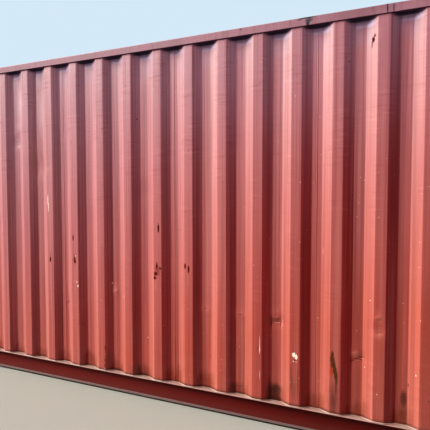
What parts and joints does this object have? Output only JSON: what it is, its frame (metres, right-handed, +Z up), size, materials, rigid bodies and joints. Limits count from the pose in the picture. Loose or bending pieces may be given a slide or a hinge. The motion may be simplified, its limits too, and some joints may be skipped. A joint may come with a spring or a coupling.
{
  "type": "high-cube shipping container",
  "caption": "Long steel freight container with corrugated walls, ribbed roof, corner castings and closed double doors.",
  "frame": {"origin": "on the ground under the middle of the container's overall length and width", "axes": "+X along the length towards the doors, +Y across, +Z up"},
  "size_m": [12.192, 2.438, 2.896],
  "materials": {
    "wall_paint": "chalky, faded red paint",
    "frame_paint": "faded red paint",
    "base_paint": "dusty dark red paint",
    "casting_paint": "worn red paint",
    "galvanised_steel": "dull galvanised steel",
    "seal_rubber": "matte black",
    "floor_plywood": "worn varnished plywood"
  },
  "bodies": {
    "root": {"bottom_castings": "casting_paint", "top_castings": "casting_paint", "bottom_side_rails": "base_paint", "cross_members": "base_paint", "tunnel_outriggers": "base_paint", "tunnel_bows": "base_paint", "tunnel_top_plate": "base_paint", "tunnel_side_plates": "base_paint", "front_sill": "base_paint", "tunnel_bridge": "base_paint", "floor_boards_left": "floor_plywood", "floor_boards_right": "floor_plywood", "floor_strip": "galvanised_steel", "front_posts": "frame_paint", "rear_posts": "frame_paint", "rear_post_channels": "frame_paint", "top_side_rails": "frame_paint", "front_header": "frame_paint", "left_wall": "wall_paint", "right_wall": "wall_paint", "front_wall": "wall_paint", "roof_sheets": "wall_paint", "roof_end_plates": "wall_paint", "door_sill": "base_paint", "door_header": "frame_paint", "left_door_frame": "frame_paint", "left_door_sheet": "wall_paint", "right_door_frame": "frame_paint", "right_door_sheet": "wall_paint", "door_seals": "seal_rubber", "hinge_lugs": "frame_paint", "hinge_blades": "frame_paint", "hinge_pins": "galvanised_steel", "lock_rods": "galvanised_steel", "rod_brackets": "galvanised_steel", "rod_cams": "galvanised_steel", "cam_keepers": "galvanised_steel", "door_handles": "galvanised_steel", "handle_catches": "galvanised_steel", "ventilators": "wall_paint"}
  },
  "joints": []
}
